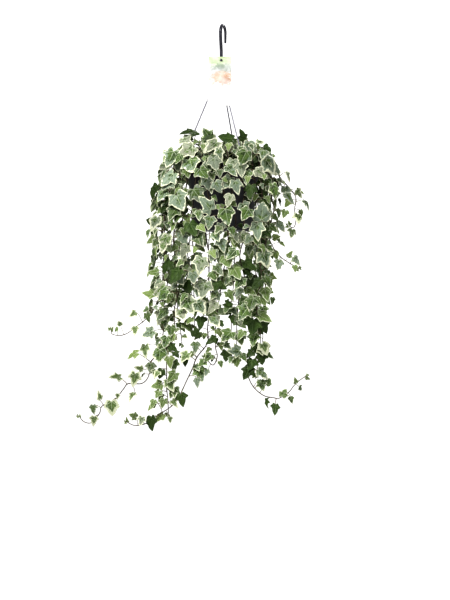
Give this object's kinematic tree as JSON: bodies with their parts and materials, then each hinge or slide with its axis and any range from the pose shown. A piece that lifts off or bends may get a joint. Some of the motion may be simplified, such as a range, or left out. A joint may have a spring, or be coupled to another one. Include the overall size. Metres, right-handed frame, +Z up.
{
  "type": "hanging potted english ivy",
  "caption": "Variegated english ivy with long trailing leafy stems in a dark nursery pot, hung by a moulded hook hanger with thin strands and a plain card tag.",
  "frame": {"origin": "the point inside the top of the hook that bears on what the pot hangs from", "axes": "+Z up along the hanging line, -Y towards the picture's viewer, +X to the viewer's right"},
  "size_m": [0.4582, 0.2745, 0.8096],
  "materials": {
    "pot_plastic": "satin, dark anthracite",
    "potting_soil": "rough, crumbly",
    "hanger_plastic": "glossy black",
    "strand_plastic": "satin grey",
    "tag_card": "smooth coated card",
    "ivy_leaf": "waxy, grey-green with cream edges"
  },
  "bodies": {
    "root": {"crown_back_left": "ivy_leaf", "crown_back_right": "ivy_leaf", "crown_front": "ivy_leaf", "crown_left": "ivy_leaf", "crown_right": "ivy_leaf", "hanger": "hanger_plastic", "pot": "pot_plastic", "soil": "potting_soil", "strand_back": "strand_plastic", "strand_front": "strand_plastic", "strand_left": "strand_plastic", "tag": "tag_card", "vine_back_a": "ivy_leaf", "vine_back_b": "ivy_leaf", "vine_back_c": "ivy_leaf", "vine_back_d": "ivy_leaf", "vine_back_left": "ivy_leaf", "vine_back_right": "ivy_leaf", "vine_centre": "ivy_leaf", "vine_centre_left": "ivy_leaf", "vine_left_arc": "ivy_leaf", "vine_left_back": "ivy_leaf", "vine_left_fall": "ivy_leaf", "vine_left_front": "ivy_leaf", "vine_left_low": "ivy_leaf", "vine_left_mid": "ivy_leaf", "vine_right_back": "ivy_leaf", "vine_right_bunch": "ivy_leaf", "vine_right_curl": "ivy_leaf", "vine_right_front": "ivy_leaf", "vine_right_inner": "ivy_leaf", "vine_right_low": "ivy_leaf", "vine_right_mid": "ivy_leaf", "vine_right_side": "ivy_leaf"}
  },
  "joints": []
}
